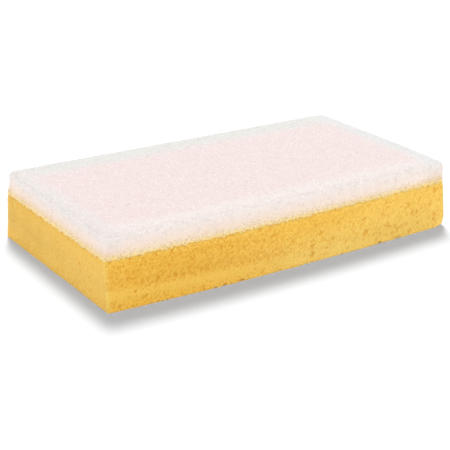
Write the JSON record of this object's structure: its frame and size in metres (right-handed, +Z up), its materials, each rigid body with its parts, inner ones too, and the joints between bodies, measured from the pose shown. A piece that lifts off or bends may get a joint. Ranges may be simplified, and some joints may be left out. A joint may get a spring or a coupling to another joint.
{
  "type": "two-layer grout sponge",
  "caption": "Rectangular grout-cleaning sponge: a yellow cellular foam block with a thinner white nonwoven scrub pad laminated on top.",
  "frame": {"origin": "centre of the foam block's underside, on the surface that the sponge stands on", "axes": "+X along the length, +Y across the width, +Z up from the foam block to the scrub pad"},
  "size_m": [0.25, 0.14, 0.046],
  "materials": {
    "foam": "matte",
    "adhesive": "satin",
    "nonwoven": "matte"
  },
  "bodies": {
    "foam": {"sponge_block": "foam"},
    "pad": {"bond_layer": "adhesive", "scrub_pad": "nonwoven"}
  },
  "joints": [
    {"name": "foam_squeeze", "type": "slide", "parent": "foam", "child": "pad", "axis": [0, 0, -1], "range_m": [0, 0.012], "stiffness_N_per_m": 5000, "deforming": ["sponge_block"]}
  ]
}
